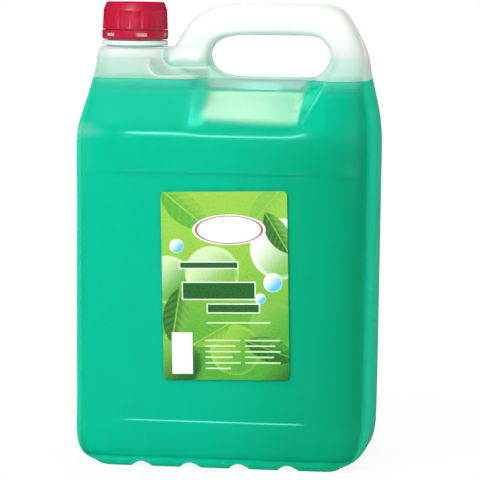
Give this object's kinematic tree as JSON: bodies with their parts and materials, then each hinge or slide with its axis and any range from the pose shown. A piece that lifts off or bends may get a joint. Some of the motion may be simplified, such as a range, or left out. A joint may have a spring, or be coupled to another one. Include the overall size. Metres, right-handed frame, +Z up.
{
  "type": "liquid soap refill canister",
  "caption": "Upright blow-moulded refill canister of liquid hand soap with a moulded-in handle, a grip recess, a ribbed screw cap with tamper ring and a front label.",
  "frame": {"origin": "on the surface the canister stands on, under the middle of its body", "axes": "+Z up, +X to the right seen from the front, the labelled front faces -Y"},
  "size_m": [0.1904, 0.1288, 0.29],
  "materials": {
    "natural_plastic": "natural translucent polyethylene, soft satin",
    "green_soap": "emerald green liquid soap seen through the wall",
    "red_plastic": "red moulded polypropylene, satin gloss",
    "red_ring_plastic": "red moulded polypropylene, satin gloss",
    "white_foam": "white foamed sealing wad",
    "label_film": null
  },
  "bodies": {
    "filled_canister": {"canister": "natural_plastic", "liquid_soap": "green_soap", "tamper_ring": "red_ring_plastic", "front_label": "label_film"},
    "liner": {"cap_liner": "white_foam"},
    "cap": {"screw_cap": "red_plastic"}
  },
  "joints": [
    {"name": "cap_rise", "type": "slide", "parent": "filled_canister", "child": "liner", "axis": [0, 0, 1], "range_m": [0, 0.0181]},
    {"name": "cap_turn", "type": "hinge", "parent": "liner", "child": "cap", "pos_m": [-0.0626, 0, 0.2726], "axis": [0, 0, 1], "range_deg": [0, 1620]}
  ],
  "couplings": [
    {"joint": "cap_rise", "follows": "cap_turn", "m_per_rad": 0.00063662}
  ]
}
